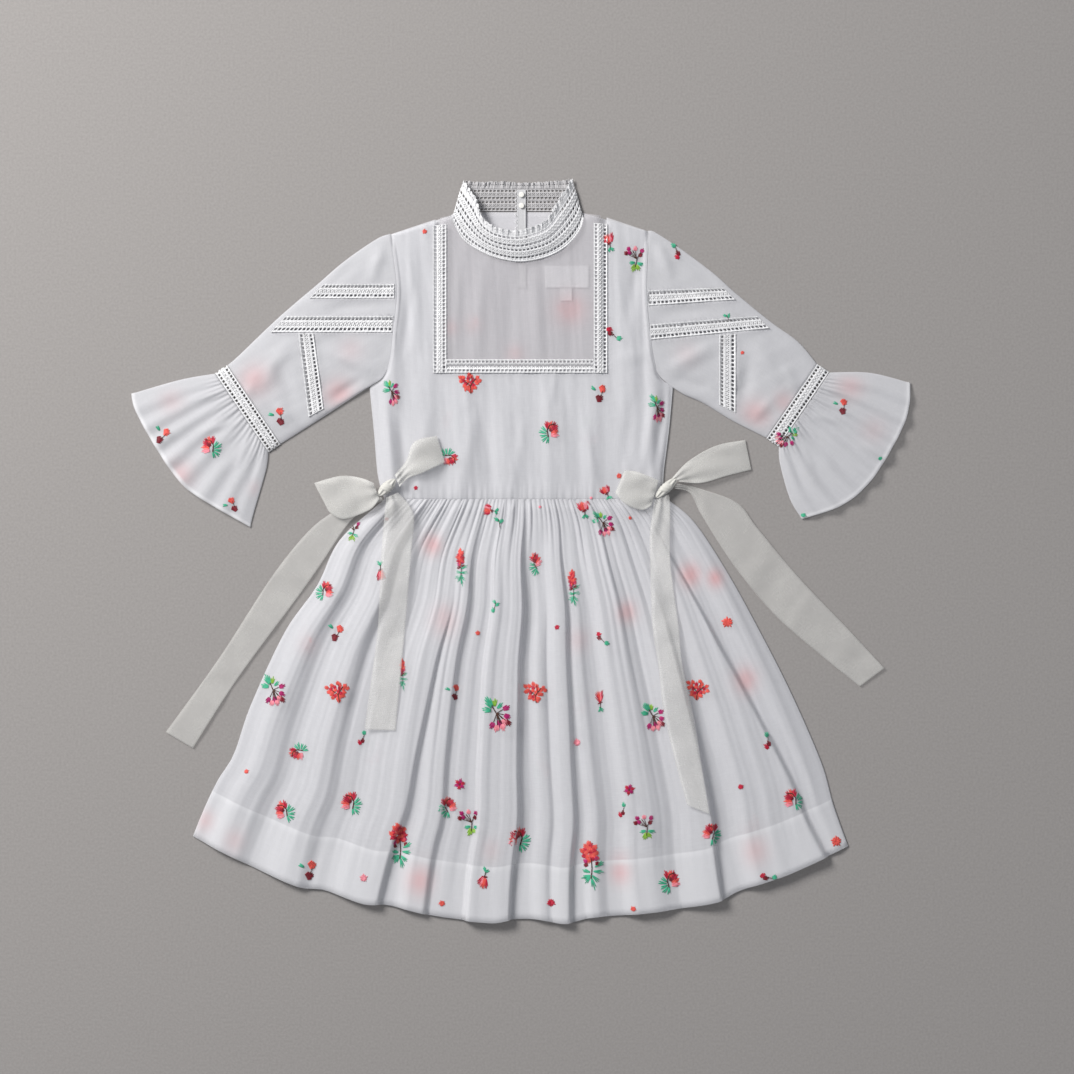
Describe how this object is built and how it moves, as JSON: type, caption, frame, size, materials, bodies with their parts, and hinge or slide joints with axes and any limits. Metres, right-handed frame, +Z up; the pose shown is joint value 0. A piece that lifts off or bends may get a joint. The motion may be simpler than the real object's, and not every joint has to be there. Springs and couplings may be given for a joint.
{
  "type": "organdy dress",
  "caption": "Child's sheer organdy dress laid flat: high lace collar, square yoke, elbow sleeves with flounces, gathered skirt and side bows.",
  "frame": {"origin": "middle of the laid-out garment's outline, on the surface it lies on", "axes": "+X to the right sleeve as seen from above, +Y to the collar, +Z up off the surface"},
  "size_m": [0.7785, 0.744, 0.0179],
  "materials": {
    "organdy": "crisp sheer white cotton organdy, embroidered",
    "yoke_organdy": "single-layer sheer organdy",
    "lace": "matte cotton ladder lace",
    "ribbon": "soft ivory organza ribbon",
    "button": "polished small button"
  },
  "bodies": {
    "root": {"back_skirt": "organdy", "front_skirt": "organdy", "back_bodice": "organdy", "front_bodice": "organdy", "front_yoke": "yoke_organdy", "sleeve_left": "organdy", "sleeve_right": "organdy", "flounce_left": "organdy", "flounce_right": "organdy", "cuff_lace_left": "lace", "cuff_lace_right": "lace", "yoke_lace_left": "lace", "yoke_lace_right": "lace", "yoke_lace_bottom": "lace", "lace_upper_left": "lace", "lace_lower_left": "lace", "lace_side_left": "lace", "lace_upper_right": "lace", "lace_lower_right": "lace", "lace_side_right": "lace", "collar_front": "lace", "collar_back": "lace", "collar_frill_front": "lace", "collar_frill_back": "lace", "back_placket": "organdy", "back_button_1": "button", "back_button_2": "button", "neck_label": "organdy", "size_tab": "organdy", "tail_long_left": "ribbon", "tail_short_left": "ribbon", "loop_outer_left": "ribbon", "loop_inner_left": "ribbon", "knot_left": "ribbon", "tail_long_right": "ribbon", "tail_short_right": "ribbon", "loop_outer_right": "ribbon", "loop_inner_right": "ribbon", "knot_right": "ribbon"}
  },
  "joints": []
}
